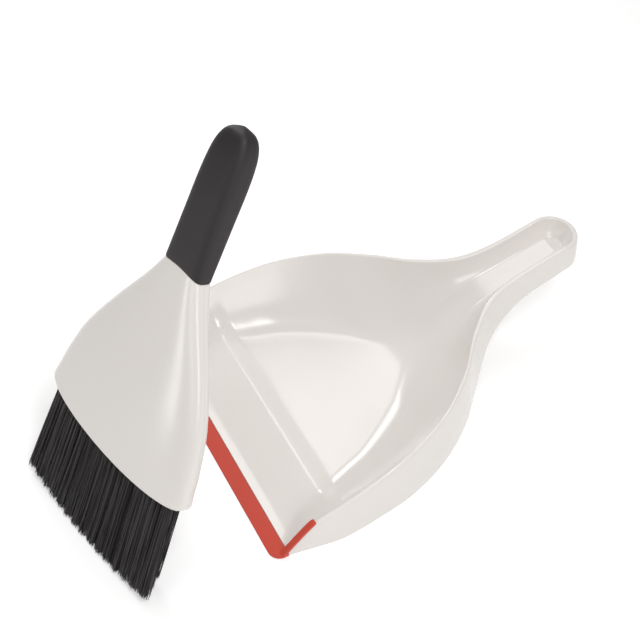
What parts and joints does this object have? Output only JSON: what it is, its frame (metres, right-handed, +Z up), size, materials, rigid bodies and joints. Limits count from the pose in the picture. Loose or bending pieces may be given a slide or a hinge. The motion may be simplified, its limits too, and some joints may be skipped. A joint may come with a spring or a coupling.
{
  "type": "dust pan and brush set",
  "caption": "Compact dust pan with a rubber lip and a hand brush with a soft grip, which sweeps into the pan and lies in it for storage.",
  "frame": {"origin": "middle of the lip's flat underside, on the floor that the pan and the brush stand on", "axes": "+Y from the lip back to the pan's handle, +Z up, +X to the pan's right seen from the handle; the pan is symmetric about X = 0"},
  "size_m": [0.2564, 0.4824, 0.29],
  "materials": {
    "white_plastic": "warm white moulded polypropylene, satin gloss",
    "lip_rubber": "orange red soft rubber, matt",
    "grip_rubber": "black soft grip, fine matt",
    "core_plastic": "unpainted moulded plastic, out of sight",
    "bristle": "near black nylon filament"
  },
  "bodies": {
    "pan": {"pan_body": "white_plastic", "floor_lip": "lip_rubber"},
    "brush": {"head_front_shell": "white_plastic", "head_back_shell": "white_plastic", "tuft_block": "core_plastic", "handle_core": "core_plastic", "grip_sleeve": "grip_rubber", "bristle_tuft_a_01": "bristle", "bristle_tuft_a_02": "bristle", "bristle_tuft_a_03": "bristle", "bristle_tuft_a_04": "bristle", "bristle_tuft_a_05": "bristle", "bristle_tuft_a_06": "bristle", "bristle_tuft_a_07": "bristle", "bristle_tuft_a_08": "bristle", "bristle_tuft_a_09": "bristle", "bristle_tuft_a_10": "bristle", "bristle_tuft_a_11": "bristle", "bristle_tuft_a_12": "bristle", "bristle_tuft_a_13": "bristle", "bristle_tuft_a_14": "bristle", "bristle_tuft_a_15": "bristle", "bristle_tuft_b_01": "bristle", "bristle_tuft_b_02": "bristle", "bristle_tuft_b_03": "bristle", "bristle_tuft_b_04": "bristle", "bristle_tuft_b_05": "bristle", "bristle_tuft_b_06": "bristle", "bristle_tuft_b_07": "bristle", "bristle_tuft_b_08": "bristle", "bristle_tuft_b_09": "bristle", "bristle_tuft_b_10": "bristle", "bristle_tuft_b_11": "bristle", "bristle_tuft_b_12": "bristle", "bristle_tuft_b_13": "bristle", "bristle_tuft_b_14": "bristle", "bristle_tuft_c_01": "bristle", "bristle_tuft_c_02": "bristle", "bristle_tuft_c_03": "bristle", "bristle_tuft_c_04": "bristle", "bristle_tuft_c_05": "bristle", "bristle_tuft_c_06": "bristle", "bristle_tuft_c_07": "bristle", "bristle_tuft_c_08": "bristle", "bristle_tuft_c_09": "bristle", "bristle_tuft_c_10": "bristle", "bristle_tuft_c_11": "bristle", "bristle_tuft_c_12": "bristle", "bristle_tuft_c_13": "bristle", "bristle_tuft_c_14": "bristle", "bristle_tuft_c_15": "bristle"}
  },
  "joints": [
    {"name": "brush_stow", "type": "hinge", "parent": "pan", "child": "brush", "pos_m": [0.0486, -0.02031, -0.14461], "axis": [-0.9608, -0.1069, -0.2559], "range_deg": [0, 47]}
  ]
}
